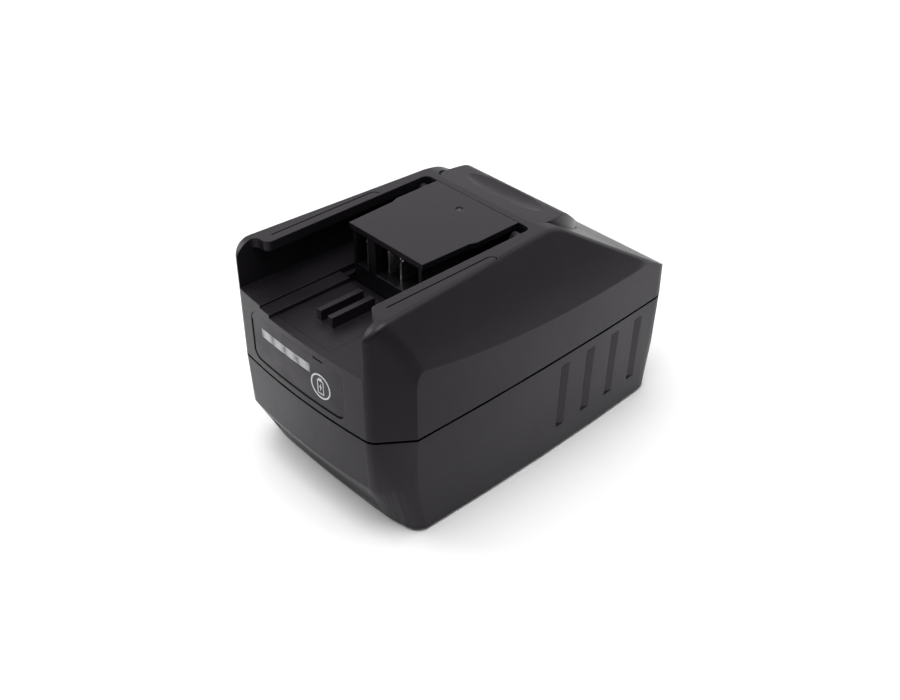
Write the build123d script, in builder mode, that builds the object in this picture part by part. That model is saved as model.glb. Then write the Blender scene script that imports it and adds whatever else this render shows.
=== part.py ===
"""Power tool battery pack, millimetres.

+Z is up and the origin is at the middle of the underside. The face with the charge gauge looks
along -Y, the release paddle is at +Y, and the tool's shoe slides in over the top from -Y.
"""
from build123d import *
import os

os.makedirs("parts", exist_ok=True)

# Walls and clearances
wall = 2.4
seam_gap = 0.5
overrun = 5.0
slide_fit = 0.05
part_gap = 0.3

# Cells and their holders
cell_diameter = 18.4
cell_length = 65.2
cell_gap = 0.8
cell_columns = 5
cell_layers = 2
cell_sides = 20
cell_cap_radius = 4.0
cell_cap_sides = 8
cell_cap_height = 0.9
holder_depth = 9.0
holder_rim = 1.6
holder_corner = 4.0
holder_sides = 8
holder_turn = 22.5
cell_fit = 0.05
pad_thickness = 1.0
pad_margin = 3.0
cell_pitch = cell_diameter + cell_gap
pack_depth = cell_pitch * (cell_columns - 1) + cell_diameter + 2 * holder_rim
pack_height = cell_pitch * (cell_layers - 1) + cell_diameter + 2 * holder_rim

# Overall size: the cells, the board above them and the room that the case leaves round them
pack_start = 17.8
pack_end_room = 9.8
side_room = 6.4
board_gap = 3.8
board_thickness = 1.6
floor_room = 11.2
channel_depth = 17.3
length = pack_start + pack_depth + pack_end_room
width = cell_length + 2 * side_room
front = -length / 2
rear = length / 2
pack_base = wall + pad_thickness
holder_top = pack_base + pack_height
board_low = holder_top + board_gap
board_top = board_low + board_thickness
floor_height = board_top + floor_room
height = floor_height + channel_depth
parting_drop = 5.5
parting_height = holder_top - parting_drop
case_rise = height - parting_height

# Plan outline, shared by both halves of the case
nose_in = 10.5
nose_half = width / 2 - nose_in
nose_bulge = 1.6
nose_radius = (nose_half**2 + nose_bulge**2) / (2 * nose_bulge)
blend_bulge = 0.22
corner_in = 7.7
corner_start = 3.0
corner_end = 12.8
side_flare = 0.5
side_bulge = 1.13
rear_in = 2.0
rear_half = width / 2 - rear_in
rear_radius = 6.0
rear_bulge = 0.5
outline_chords = 4

# Top case: at three stations along the length, the ridge's half width, the rim's height above the
# seam and how far the slope runs on below the rim, as shares of half the width, the rise and the slope
station_shares = (0.0, 0.524, 1.0)
ridge_shares = (0.831, 0.723, 0.631)
rim_shares = (0.607, 0.416, 0.244)
skirt_shares = (1.4, 0.65, 0.3)
crown_share = 0.039
hood_reach = 6.0
corner_radius = 8.0
ridge_edge = 1.2
ridge_drop = 4.0
cheek_radius = 7.5
cheek_front = 1.2
fall_length = 47.0
flat_end = length - fall_length
rear_rim_rise = 9.2
rear_rim_height = parting_height + rear_rim_rise
rear_rim_radius = 3.5
shoulder_radius = 16.0
rear_fall = (height - rear_rim_height) / fall_length

# Tool channel, heights from the underside and distances from the front
rail_room = 10.0
channel_half = width / 2 - rail_room
channel_taper = 2.0
channel_wall = 2.0
lip_overlap = 5.7
lip_half = channel_half - lip_overlap
lip_start = 9.0
lip_thickness = 3.2
lip_nose_radius = 2.4
deck_length = 53.8
slot_end = length - deck_length
slot_radius = 2.2
bridge_thickness = 2.8
shelf_rise = 2.0
shelf_width = 5.9
shelf_inner = lip_half - shelf_width
guide_rise = 1.1
guide_width = 4.8
guide_inner = shelf_inner - guide_width
pocket_depth = 0.4
pocket_start = 3.1
pocket_end = 30.8
pit_depth = 3.1
pit_length = 4.4
pit_skin = 1.6
fin_shares = (-0.19, 0.23)
fin_thickness = 2.0
fin_start = 11.0
fin_length = 16.0
fin_height = 3.8
rail_line_in = 3.1
rail_line_start = 13.0
rail_line_room = 19.2
rail_line_width = 0.5
rail_line_depth = 0.8
rail_hook = 2.0
rail_hook_start = 90
rail_hook_turn = 90
pocket_floor = floor_height - pocket_depth
pit_floor = floor_height - pit_depth
bridge_end = slot_end + bridge_thickness
rail_line_place = lip_half + rail_line_in
rail_line_end = slot_end - rail_line_room

# Terminal block
block_in = 13.4
block_half = channel_half - block_in
block_front = pocket_end + pit_length
block_rear = slot_end - part_gap
plinth_rise = 3.5
plinth_height = floor_height + plinth_rise
bay_depth = 12.8
bay_shares = (-0.91, -0.564, -0.34, 0.91)
plate_thickness = 2.0
plate_overhang = 0.5
plate_front_out = 1.0
plate_step_out = 1.7
plate_rear_out = 2.6
plate_step_room = 19.5
plate_step_length = 2.6
block_skin = 2.0
dimple_room = 7.2
dimple_radius = 1.3
dimple_depth = 0.3
blade_shares = (-0.788, -0.218, 0.141)
blade_names = ("blade_positive", "blade_signal", "blade_negative")
blade_thickness = 0.8
blade_setback = 3.4
blade_length = 7.6
blade_drop = 4.2
blade_radius = 3.6
blade_front = block_front + blade_setback
blade_top = height - blade_drop

# Charge gauge in the front face
panel_left_in = 5.1
panel_right_in = 7.9
panel_rise = 2.7
panel_drop = 2.2
panel_left = panel_left_in - nose_half
panel_right = nose_half - panel_right_in
panel_low = parting_height + panel_rise
panel_high = floor_height - panel_drop
panel_radius = 3.2
panel_thickness = 0.8
panel_sink = 0.1
panel_fit = 0.15
button_in = 9.9
button_rise = 7.5
button_place = panel_right - button_in
button_height = panel_low + button_rise
button_radius = 4.4
button_face = 0.1
button_flange = 0.6
button_flange_thickness = 0.6
button_rest_gap = 0.15
button_stem_radius = 1.4
button_travel = 0.5
window_in = 5.5
window_end_room = 4.5
window_rise = 10.2
window_height = 3.0
window_left = panel_left + window_in
window_right = button_place - window_end_room
window_low = panel_low + window_rise
window_high = window_low + window_height
window_depth = 4.6
window_segments = 4
segment_pitch = (window_right - window_left) / window_segments
segment_groove = 0.4
slit_in = 10.4
slit_drop = 0.5
slit_length = 4.2
slit_width = 0.6
gauge_board_face = 7.0
gauge_board_thickness = 1.2
gauge_board_left_in = 1.4
gauge_board_right_in = 0.6
gauge_board_low_out = 0.2
gauge_board_high_in = 0.8
gauge_board_left = panel_left + gauge_board_left_in
gauge_board_right = panel_right - gauge_board_right_in
gauge_board_low = panel_low - gauge_board_low_out
gauge_board_high = panel_high - gauge_board_high_in
gauge_board_rear = gauge_board_face + gauge_board_thickness
led_share = 0.5
led_height = 1.6
led_depth = 1.2
switch_size = 4.5
switch_depth = 1.8
switch_plunger = 0.4
switch_plunger_radius = 1.1
rib_thickness = 1.8
rib_bite = 0.6
rib_end = 9.2
button_stem_end = gauge_board_face - switch_depth - switch_plunger - button_travel

# Bottom case
draft = 1.3
rear_draft = 2.0
chin_drop = 18.7
chin_height = parting_height - chin_drop
chin_draft = 0.7
base_edge = 1.2
foot_setback = 10.4
foot_corner_start = 12.2
foot_corner_in = 8.2
foot_corner_end = 16.8
foot_corner_bulge = 1.4
foot_nose_in = 13.5
foot_nose_half = width / 2 - foot_nose_in
grip_radius = 15.0
grip_end_in = 0.5
grip_depth = 2.0
grip_setback = 3.2
grip_end = 2.4
grip_height = 9.8
tongue_height = 2.4
tongue_thickness = 1.1
groove_count = 4
groove_pitch = 12.15
groove_room = 53.5
groove_width = 4.4
groove_depth = 1.1
groove_low = 9.8
groove_drop = 3.7
groove_high = parting_height - groove_drop

# Straps and insulators
strap_thickness = 0.3
strap_width = 8.0
strap_tab_width = 5.0
strap_landing = 1.3
arm_height = 4.0
arm_tab_inset = 3.5
arm_drop = 3.2
insulator_thickness = 0.4

# Control board
board_in = 8.0
board_setback = 0.8
board_overhang = 6.8
board_half = width / 2 - board_in
board_start = pack_start + board_setback
board_end = slot_end + board_overhang
board_depth = board_end - board_start
post_radius = 2.6
post_in = 3.6
post_inset = 4.4
post_place = board_half - post_in
board_screw_radius = 0.9
board_screw_sides = 8
board_screw_head = 1.9
board_screw_head_height = 1.3
board_screw_length = 5.0
board_screw_bite = 3.6
bead_radius = 1.3
bead_length = 5.0
bead_lead_radius = 0.35
bead_lead_spread = 1.4
ribbon_width = 12.0
ribbon_thickness = 0.3
ribbon_landing = 3.0
capacitor_radius = 2.0
capacitor_height = 3.4
capacitor_shares = ((0.71, 0.089), (0.71, 0.18))
tallest_block = 2.6
block_shares = (
    (0.0, 0.156, 0.226, 0.116, 0.46),
    (-0.516, 0.106, 0.21, 0.166, 0.885),
    (0.387, 0.123, 0.194, 0.053, 0.31),
    (-0.774, 0.52, 0.21, 0.166, 0.885),
    (0.742, 0.437, 0.161, 0.199, 1.0),
)

# Release paddle
paddle_in = 6.2
paddle_half = channel_half - paddle_in
paddle_corner = 3.6
paddle_gap = 0.4
paddle_sink = 0.3
paddle_rear_room = 17.8
paddle_front = bridge_end + paddle_gap
paddle_end = length - paddle_rear_room
paddle_length = paddle_end - paddle_front
paddle_top = height - paddle_sink
shoulder_share = 0.171
waist_share = 0.658
waist_half_share = 0.816
end_half_share = 0.351
crest_share = 0.415
crest_radius = 5.0
crest_drop = 1.2
paddle_proud = 1.06
paddle_rear_height = height - (paddle_end - flat_end) * rear_fall + paddle_proud
paddle_skin = 2.6
spring_pad_radius = 3.6
spring_pad = 2.0
spring_drop = 4.2
spring_top = paddle_top - spring_drop
skirt_thickness = 1.8
skirt_depth = 8.2
scoop_share = 0.28
scoop_in = 5.3
scoop_half = paddle_half - scoop_in
scoop_half_width = 4.8
scoop_depth = 1.3
scoop_steps = 2
latch_travel = 4.0
arm_out = 0.3
arm_width = 3.6
arm_outer = paddle_half - arm_out
arm_inner = arm_outer - arm_width
arm_top = 4.2
arm_thickness = 4.8
arm_reach = 6.2
arm_start = slot_end - arm_reach
arm_low = paddle_top - arm_top - arm_thickness
hook_nose = 2.8
hook_slope = 2.6
hook_length = 4.0
guide_in = 10.8
guide_share = 0.232
guide_radius = 2.0
guide_sides = 12

# Spring seat
seat_rise = 11.9
seat_top = holder_top + seat_rise
seat_thickness = 2.0
seat_setback = 2.1
seat_length = 12.5
seat_in = 0.4
seat_leg = 4.0
seat_leg_in = 2.8
seat_start = paddle_front + seat_setback
seat_end = seat_start + seat_length
seat_half = board_half - seat_in
seat_leg_place = seat_half - seat_leg_in
spring_outer = 3.2
spring_inner = 2.45
guide_drop = 5.5
guide_end = seat_top - guide_drop

# Case screws
screw_radius = 1.3
screw_clearance = 0.3
screw_head_radius = 2.3
screw_head_height = 2.0
screw_seat = 12.0
screw_bite = 7.3
screw_length = parting_height - screw_seat + screw_bite
screw_sides = 10
recess_sides = 24
socket_radius = 0.9
socket_sides = 6
head_clearance = 0.15
boss_radius = 3.0
front_screw_place = 14.5
front_screw_in = 17.0
rear_screw_inset = 6.0
rear_screw_in = 9.0

# Heights and places that follow from the sizes above
seam_top = parting_height + seam_gap / 2
seam_low = parting_height - seam_gap / 2
lower_cell = pack_base + holder_rim + cell_diameter / 2
upper_cell = lower_cell + cell_pitch * (cell_layers - 1)
first_cell = pack_start + holder_rim + cell_diameter / 2
pack_middle = front + pack_start + pack_depth / 2
pack_centre_height = (holder_top + pack_base) / 2
strap_place = cell_length / 2
strap_face = strap_place + strap_thickness
arm_level = holder_top - arm_drop
post_lines = (board_start + post_inset, board_end - post_inset)
window_middle = (window_low + window_high) / 2
rear_screw_place = length - rear_screw_inset
rear_boss_top = height - (rear_screw_place + boss_radius - flat_end) * rear_fall - wall / 2


def nose_at(x):
    """How far the bulged front face lies behind its middle, at x."""
    return nose_bulge * (x / nose_half) ** 2


def wall_back(x):
    """How far the straight inner face of the front wall lies behind the middle of the front, at x."""
    slant = nose_bulge / nose_half
    return wall * (1 + slant**2) ** 0.5 + slant * x


def side_at(y):
    """Half width of the case at the parting line, at a distance y from the front."""
    start, end = corner_end, length - rear_bulge - rear_radius
    share = (y - start) / (end - start)
    chord = (width / 2 - side_flare) * (1 - share) + rear_half * share
    return chord + 4 * side_bulge * share * (1 - share)


def drawn_in(outline, inset, chords):
    """An outline moved inwards, each edge drawn as a number of straight chords if one is given."""
    with BuildSketch() as result:
        if chords:
            edges = outline.face().outer_wire().order_edges()
            with BuildLine():
                Polyline(*(edge @ (step / chords) for edge in edges for step in range(chords)), close=True)
            make_face()
        else:
            add(outline)
        if inset:
            offset(amount=-inset, kind=Kind.INTERSECTION)
    return result.sketch


def case_outline(inset=0.0, chords=0):
    """Plan of the case: bulged nose, broad flattened corners, long sides that draw in to the rear."""
    rear_face = rear - rear_bulge
    with BuildSketch() as outline:
        with BuildLine():
            nose = ThreePointArc(
                (0, front),
                (nose_half / 2, front + nose_at(nose_half / 2)),
                (nose_half, front + nose_bulge),
            )
            blend = SagittaArc(nose @ 1, (width / 2 - corner_in, front + corner_start), -blend_bulge)
            corner = Line(blend @ 1, (width / 2 - side_flare, front + corner_end))
            side = SagittaArc(corner @ 1, (rear_half, rear_face - rear_radius), -side_bulge)
            turn = RadiusArc(side @ 1, (rear_half - rear_radius, rear_face), -rear_radius)
            middle = ((rear_half - rear_radius) / 2, rear - rear_bulge / 4)
            ThreePointArc(turn @ 1, middle, (0, rear))
            mirror(about=Plane.YZ)
        make_face()
    return drawn_in(outline.sketch, inset, chords)


def base_outline(inset=0.0, setback=0.0, chords=0):
    """Plan of the underside: the same sides, with the nose set back between two corner feet."""
    nose_line = front + foot_setback + setback
    rear_face = rear - rear_bulge - rear_draft
    side_line = width / 2 - side_flare - draft
    with BuildSketch() as outline:
        with BuildLine():
            nose = ThreePointArc(
                (0, nose_line),
                (foot_nose_half / 2, nose_line + nose_at(foot_nose_half / 2) / 2),
                (foot_nose_half, nose_line + nose_at(foot_nose_half) / 2),
            )
            heel = (width / 2 - foot_corner_in, front + foot_corner_start + setback)
            toe = (side_line, front + foot_corner_end + setback)
            blend = SagittaArc(nose @ 1, heel, -blend_bulge)
            corner = SagittaArc(blend @ 1, toe, -foot_corner_bulge)
            side = SagittaArc(corner @ 1, (rear_half - draft, rear_face - rear_radius), -side_bulge)
            turn = RadiusArc(side @ 1, (rear_half - draft - rear_radius, rear_face), -rear_radius)
            middle = ((rear_half - draft - rear_radius) / 2, rear - rear_draft - rear_bulge / 4)
            ThreePointArc(turn @ 1, middle, (0, rear - rear_draft))
            mirror(about=Plane.YZ)
        make_face()
    return drawn_in(outline.sketch, inset, chords)


def hood_outline():
    """Plan of the hood before its sides are cut: nose and corner flats that run on past the sides."""
    lean = (corner_end - corner_start) / (corner_in - side_flare)
    with BuildSketch() as outline:
        with BuildLine():
            nose = ThreePointArc(
                (0, front),
                (nose_half / 2, front + nose_at(nose_half / 2)),
                (nose_half, front + nose_bulge),
            )
            blend = SagittaArc(nose @ 1, (width / 2 - corner_in, front + corner_start), -blend_bulge)
            reach = front + corner_start + lean * (corner_in + hood_reach)
            corner = Line(blend @ 1, (width / 2 + hood_reach, reach))
            side = Line(corner @ 1, (width / 2 + hood_reach, rear + overrun))
            Line(side @ 1, (0, rear + overrun))
            mirror(about=Plane.YZ)
        make_face()
    return outline.sketch


def side_outline():
    """Plan of the cut that makes the sides and the rear, wider than the case ahead of its corners."""
    rear_face = rear - rear_bulge
    start = corner_end - rear_bulge
    with BuildSketch() as outline:
        with BuildLine():
            ahead = Line((0, front - overrun), (width / 2 + hood_reach, front - overrun))
            edge = Line(ahead @ 1, (width / 2 + hood_reach, front + start))
            step = Line(edge @ 1, (side_at(start), front + start))
            middle = (start + length - rear_bulge - rear_radius) / 2
            side = ThreePointArc(
                step @ 1,
                (side_at(middle), front + middle),
                (rear_half, rear_face - rear_radius),
            )
            turn = RadiusArc(side @ 1, (rear_half - rear_radius, rear_face), -rear_radius)
            middle = ((rear_half - rear_radius) / 2, rear - rear_bulge / 4)
            ThreePointArc(turn @ 1, middle, (0, rear))
            mirror(about=Plane.YZ)
        make_face()
    return outline.sketch


def slope_section(station, low, inset=0.0):
    """Section across the top case at one of the stations: flat top and crowned slopes."""
    ridge = (width / 2 * ridge_shares[station], height)
    rim = (width / 2, parting_height + case_rise * rim_shares[station])
    run = 1 + skirt_shares[station]
    across, fall = rim[0] - ridge[0], ridge[1] - rim[1]
    bow = 4 * crown_share * run * (1 - run)
    foot = (ridge[0] + run * across + bow * fall, ridge[1] - run * fall + bow * across)
    with BuildSketch() as section:
        with BuildLine():
            base = Line((0, low), (foot[0], low))
            upright = Line(base @ 1, foot)
            if inset:
                slope = Line(upright @ 1, ridge)
            else:
                slope = ThreePointArc(upright @ 1, rim, ridge)
            Line(slope @ 1, (0, height))
            mirror(about=Plane.YZ)
        make_face()
        if inset:
            offset(amount=-inset)
    return section.sketch


def side_profile(low, inset=0.0):
    """Side view of the top case: rounded cheeks, flat top, then the slope down to the rear rim."""
    cheek_start = front + cheek_front
    with BuildSketch() as profile:
        with BuildLine():
            bottom = Line((rear, low), (front - overrun, low))
            upright = Line(bottom @ 1, (front - overrun, height - cheek_radius))
            sill = Line(upright @ 1, (cheek_start, height - cheek_radius))
            cheek = RadiusArc(sill @ 1, (cheek_start + cheek_radius, height), cheek_radius)
            flat = Line(cheek @ 1, (front + flat_end, height))
            slope = Line(flat @ 1, (rear, rear_rim_height))
            Line(slope @ 1, bottom @ 0)
        make_face()
        fillet(profile.vertices().sort_by_distance((front + flat_end, height))[0], shoulder_radius)
        fillet(profile.vertices().sort_by_distance((rear, rear_rim_height))[0], rear_rim_radius)
        if inset:
            offset(amount=-inset)
    return profile.sketch


def hood_body(plan, low, inset=0.0):
    """Plan raised from a level, cut to the slopes and to the side view of the top case."""
    with BuildPart() as form:
        with BuildSketch(Plane.XY.offset(low)):
            add(plan)
        extrude(amount=height - low)
        for station, share in enumerate(station_shares):
            with BuildSketch(Plane.XZ.offset(-front - share * length)):
                add(slope_section(station, low - overrun, inset))
        loft(mode=Mode.INTERSECT)
        with BuildSketch(Plane.YZ):
            add(side_profile(low - overrun, inset))
        extrude(amount=width, both=True, mode=Mode.INTERSECT)
    return form.part


def upper_form():
    """Outer body of the top case: hood with rounded corners and bevelled ridges, then cut sides."""
    corner_line = (width / 2, front + corner_end, parting_height + case_rise * rim_shares[0])
    corner_pair = (corner_line, (-corner_line[0], corner_line[1], corner_line[2]))
    with BuildPart() as form:
        add(hood_body(hood_outline(), seam_top))
        slants = [form.edges().sort_by_distance(place)[0] for place in corner_pair]
        fillet(slants, corner_radius)
        ridges = [
            edge
            for edge in form.edges()
            if paddle_half < abs(edge.center().X) < width / 2
            and edge.center().Y > front + corner_start + side_flare
            and edge.center().Z > rear_rim_height + rear_rim_radius
            and (edge.center().Z > height - ridge_drop or edge.center().Y > 0)
        ]
        chamfer(ridges, ridge_edge)
        with BuildSketch(Plane.XY.offset(seam_top)):
            add(side_outline())
        extrude(amount=height, mode=Mode.INTERSECT)
    return form.part


def front_depth(x):
    """How far the gauge panel lies behind the middle of the front, at x."""
    return panel_sink + nose_at(x)


def channel_at(place):
    """Half width of the channel under its lips, drawn in a little towards the rear."""
    return channel_half - channel_taper * place / slot_end


def front_band(near, far, low, high):
    """Plate that follows the bulged front, between two depths behind it and two heights."""
    with BuildPart() as band:
        with BuildSketch(Plane.XY.offset(low)):
            with Locations((0, front + nose_radius)):
                Circle(nose_radius - near)
                Circle(nose_radius - far, mode=Mode.SUBTRACT)
            with Locations((0, front)):
                Rectangle(width, width, mode=Mode.INTERSECT)
        extrude(amount=high - low)
    return band.part


def front_prism(x, z, radius):
    """Rounded rectangle seen from the front, run from ahead of the case to behind its front wall."""
    with BuildPart() as prism:
        with BuildSketch(Plane.XZ.offset(-front + overrun)):
            with Locations(((x[0] + x[1]) / 2, (z[0] + z[1]) / 2)):
                RectangleRounded(x[1] - x[0], z[1] - z[0], radius)
        extrude(amount=-overrun - window_depth - overrun)
    return prism.part


def front_rod(x, z, near, far, radius, sides=0):
    """Round or many-sided rod along Y between two depths behind the front."""
    with BuildPart() as rod:
        with BuildSketch(Plane.XZ.offset(-front - near)):
            with Locations((x, z)):
                if sides:
                    RegularPolygon(radius, sides)
                else:
                    Circle(radius)
        extrude(amount=near - far)
    return rod.part


def box_between(x, y, z):
    """Plain block between pairs of limits, with y counted from the front."""
    with BuildPart() as block:
        with BuildSketch(Plane.XY.offset(z[0])):
            with Locations(((x[0] + x[1]) / 2, front + (y[0] + y[1]) / 2)):
                Rectangle(x[1] - x[0], y[1] - y[0])
        extrude(amount=z[1] - z[0])
    return block.part


def upright(places, z, radius, sides=screw_sides):
    """Many-sided posts at places given as (x, y from the front), between two heights."""
    with BuildPart() as posts:
        with BuildSketch(Plane.XY.offset(z[0])):
            with Locations(*((x, front + y) for x, y in places)):
                RegularPolygon(radius, sides, major_radius=False)
        extrude(amount=z[1] - z[0])
    return posts.part


def paddle_outline(inset=0.0):
    """Plan of the release paddle: square shoulders at the front, drawn in to a blunt rear end."""
    with BuildSketch() as outline:
        with BuildLine():
            edge = Line((0, front + paddle_front), (paddle_half, front + paddle_front))
            cheek = Line(edge @ 1, (paddle_half, front + paddle_front + shoulder_share * paddle_length))
            waist = (waist_half_share * paddle_half, front + paddle_front + waist_share * paddle_length)
            tail = ThreePointArc(cheek @ 1, waist, (end_half_share * paddle_half, front + paddle_end))
            Line(tail @ 1, (0, front + paddle_end))
            mirror(about=Plane.YZ)
        make_face()
        shoulders = outline.vertices().group_by(Axis.Y)[0].sort_by(Axis.X)
        fillet((shoulders[0], shoulders[-1]), paddle_corner)
        if inset:
            offset(amount=-inset)
    return outline.sketch


def paddle_profile(drop):
    """Side view of the space under the paddle's top, lowered by a drop."""
    crest_place = paddle_front + crest_share * paddle_length
    steepness = (paddle_top - crest_drop - paddle_rear_height) / (paddle_end - crest_place)
    with BuildPart() as space:
        with BuildSketch(Plane.YZ.offset(-width / 2)) as profile:
            with BuildLine():
                before = front + paddle_front - overrun
                start = Line((before, 0), (before, paddle_top - drop))
                fall = Line(start @ 1, (front + crest_place, paddle_top - crest_drop - drop))
                tail_height = paddle_rear_height - steepness * overrun - drop
                tail = Line(fall @ 1, (front + paddle_end + overrun, tail_height))
                down = Line(tail @ 1, (front + paddle_end + overrun, 0))
                Line(down @ 1, start @ 0)
            make_face()
            fillet(profile.vertices().sort_by_distance(fall @ 1)[0], crest_radius)
        extrude(amount=width)
    return space.part


# Places that several pieces share
front_screws = tuple((side * (width / 2 - front_screw_in), front_screw_place) for side in (-1, 1))
rear_screws = tuple((side * (width / 2 - rear_screw_in), rear_screw_place) for side in (-1, 1))
guide_line = paddle_front + guide_share * paddle_length
guide_places = tuple((side * (paddle_half - guide_in), guide_line) for side in (-1, 1))
bay_edges = tuple(share * block_half for share in bay_shares)
blade_places = tuple(share * block_half for share in blade_shares)


# Tool channel: the hollow that the tool's shoe slides into
with BuildPart() as channel:
    with BuildSketch(Plane.XY.offset(floor_height)):
        with BuildLine():
            nose = Line((0, front - overrun), (channel_at(-overrun), front - overrun))
            flank = Line(nose @ 1, (channel_at(slot_end), front + slot_end))
            Line(flank @ 1, (0, front + slot_end))
            mirror(about=Plane.YZ)
        make_face()
    extrude(amount=height - lip_thickness - floor_height)
    with BuildSketch(Plane.XY.offset(floor_height)) as mouth:
        with BuildLine():
            nose = Line((0, front - overrun), (channel_at(-overrun), front - overrun))
            flank = Line(nose @ 1, (channel_at(lip_start), front + lip_start))
            step = Line(flank @ 1, (lip_half, front + lip_start))
            lip = Line(step @ 1, (lip_half, front + slot_end))
            Line(lip @ 1, (0, front + slot_end))
            mirror(about=Plane.YZ)
        make_face()
        fillet(mouth.vertices().group_by(Axis.Y)[1], lip_nose_radius)
        slot_corners = mouth.vertices().group_by(Axis.Y)[-1].sort_by(Axis.X)
        fillet((slot_corners[0], slot_corners[-1]), slot_radius)
    extrude(amount=height - floor_height + overrun)
    add(
        box_between(
            (-width / 2, -shelf_inner), (-overrun, slot_end), (floor_height, floor_height + shelf_rise)
        ),
        mode=Mode.SUBTRACT,
    )
    add(
        box_between(
            (-shelf_inner, -guide_inner), (-overrun, pocket_end), (floor_height, floor_height + guide_rise)
        ),
        mode=Mode.SUBTRACT,
    )
    add(box_between((-guide_inner, guide_inner), (pocket_start, pocket_end), (pocket_floor, height)))
    add(box_between((-block_half, block_half), (pocket_end, block_front), (pit_floor, height)))
    for place in (share * guide_inner for share in fin_shares):
        add(
            box_between(
                (place - fin_thickness / 2, place + fin_thickness / 2),
                (fin_start, fin_start + fin_length),
                (pocket_floor, pocket_floor + fin_height),
            ),
            mode=Mode.SUBTRACT,
        )

# Recess and holes in the front wall for the gauge
with BuildPart() as panel_recess:
    add(front_band(-overrun, panel_sink + panel_thickness, seam_top, floor_height))
    add(
        front_prism(
            (panel_left - panel_fit, panel_right + panel_fit),
            (panel_low - panel_fit, panel_high + panel_fit),
            panel_radius + panel_fit,
        ),
        mode=Mode.INTERSECT,
    )

with BuildPart() as window_hole:
    add(
        box_between(
            (window_left - slide_fit, window_right + slide_fit),
            (-overrun, wall + overrun),
            (window_low - slide_fit, window_high + slide_fit),
        )
    )

with BuildPart() as button_hole:
    add(front_rod(button_place, button_height, -overrun, wall + overrun, button_radius + slide_fit))

# Room inside the top case, which leaves the walls of the channel standing
with BuildPart() as upper_room:
    add(hood_body(case_outline(wall, 1), seam_top - overrun, wall))
    add(
        box_between(
            (-channel_half - channel_wall, channel_half + channel_wall),
            (0, bridge_end),
            (floor_height - channel_wall, height),
        ),
        mode=Mode.SUBTRACT,
    )
    add(
        box_between(
            (-block_half - pit_skin, block_half + pit_skin),
            (pocket_end - pit_skin, block_front + pit_skin),
            (pit_floor - pit_skin, height),
        ),
        mode=Mode.SUBTRACT,
    )

# Hole in the top of the case for the release paddle
with BuildPart() as paddle_hole:
    with BuildSketch(Plane.XY.offset(guide_end)):
        add(paddle_outline(-paddle_gap))
    extrude(amount=height - guide_end + overrun)

# Lines along the rails, each with a short hook at its rear end
with BuildPart() as rail_lines:
    with BuildSketch(Plane.XY.offset(height - rail_line_depth)):
        for side in (-1, 1):
            with BuildLine():
                run = Line(
                    (side * rail_line_place, front + rail_line_start),
                    (side * rail_line_place, front + rail_line_end - rail_hook),
                )
                CenterArc(run @ 1 + (rail_hook, 0), rail_hook, rail_hook_start, rail_hook_turn)
            trace(line_width=rail_line_width)
    extrude(amount=rail_line_depth + overrun)

# Top case: moulded shell
with BuildPart() as upper_case:
    add(upper_form())
    add(upper_room.part, mode=Mode.SUBTRACT)
    add(channel.part, mode=Mode.SUBTRACT)
    add(rail_lines.part, mode=Mode.SUBTRACT)
    add(paddle_hole.part, mode=Mode.SUBTRACT)
    add(
        box_between(
            (-block_half - part_gap, block_half + part_gap),
            (block_front - part_gap, slot_end),
            (pit_floor - overrun, height),
        ),
        mode=Mode.SUBTRACT,
    )
    for side in (-1, 1):
        window = sorted((side * (arm_inner - part_gap), side * (arm_outer + part_gap)))
        add(
            box_between(
                window,
                (slot_end - slot_radius, paddle_front + skirt_thickness),
                (arm_low - latch_travel - part_gap, arm_low + arm_thickness + part_gap),
            ),
            mode=Mode.SUBTRACT,
        )
    add(upright(front_screws, (parting_height, floor_height - channel_wall), boss_radius))
    add(upright(rear_screws, (parting_height, rear_boss_top), boss_radius))
    bore_top = screw_seat + screw_length + part_gap
    screws = front_screws + rear_screws
    add(upright(screws, (seam_low, bore_top), screw_radius + slide_fit), mode=Mode.SUBTRACT)
    for edge, side in ((gauge_board_left, -1), (gauge_board_right, 1)):
        rib = sorted((edge + side * (rib_thickness - rib_bite), edge - side * rib_bite))
        add(box_between(rib, (wall, rib_end), (gauge_board_low, floor_height - channel_wall)))
    add(
        box_between(
            (gauge_board_left - slide_fit, gauge_board_right + slide_fit),
            (gauge_board_face - slide_fit, gauge_board_rear + slide_fit),
            (gauge_board_low, gauge_board_high + slide_fit),
        ),
        mode=Mode.SUBTRACT,
    )
    with BuildSketch(Plane.XY.offset(parting_height)):
        add(case_outline(wall - tongue_thickness - slide_fit, 1))
        add(case_outline(wall, 1), mode=Mode.SUBTRACT)
    extrude(amount=seam_gap / 2 + tongue_height, mode=Mode.SUBTRACT)
    add(panel_recess.part, mode=Mode.SUBTRACT)
    add(window_hole.part, mode=Mode.SUBTRACT)
    add(button_hole.part, mode=Mode.SUBTRACT)

# Gauge panel: thin inlay in the recess, open at the window, the button and a slit
with BuildPart() as gauge_panel:
    add(front_band(panel_sink, panel_sink + panel_thickness, seam_top, floor_height))
    add(
        front_prism((panel_left, panel_right), (panel_low, panel_high), panel_radius),
        mode=Mode.INTERSECT,
    )
    add(window_hole.part, mode=Mode.SUBTRACT)
    add(button_hole.part, mode=Mode.SUBTRACT)
    add(
        box_between(
            (panel_right - slit_in - slit_length / 2, panel_right - slit_in + slit_length / 2),
            (-overrun, overrun),
            (panel_high - slit_drop - slit_width / 2, panel_high - slit_drop + slit_width / 2),
        ),
        mode=Mode.SUBTRACT,
    )

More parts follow.
